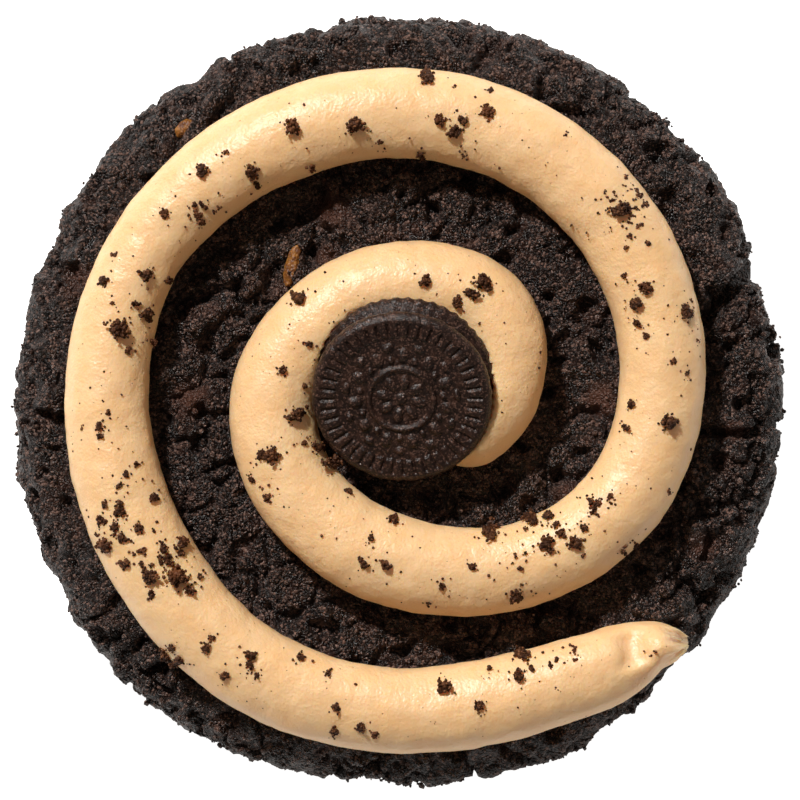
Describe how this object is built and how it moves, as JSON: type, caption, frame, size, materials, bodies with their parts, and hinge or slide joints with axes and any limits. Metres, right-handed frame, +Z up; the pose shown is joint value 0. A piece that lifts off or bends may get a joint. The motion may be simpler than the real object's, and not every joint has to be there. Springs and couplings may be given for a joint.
{
  "type": "frosted cocoa cookie",
  "caption": "Thick dark cocoa cookie topped with a piped spiral of peanut butter frosting, cookie crumbs and a small chocolate sandwich biscuit.",
  "frame": {"origin": "centre of the cookie's flat underside", "axes": "+Z up through the cookie's thickness; the frosting's tail ends towards +X and -Y, and the small biscuit's face leans towards -Y"},
  "size_m": [0.1123, 0.1121, 0.0319],
  "materials": {
    "cocoa_crust": "matte, coarse grain",
    "peanut_butter_frosting": "satin, smooth",
    "cocoa_wafer": "satin, embossed",
    "vanilla_cream": "matte, smooth"
  },
  "bodies": {
    "root": {"cookie": "cocoa_crust", "frosting": "peanut_butter_frosting", "biscuit_top_wafer": "cocoa_wafer", "biscuit_bottom_wafer": "cocoa_wafer", "biscuit_cream": "vanilla_cream"}
  },
  "joints": []
}
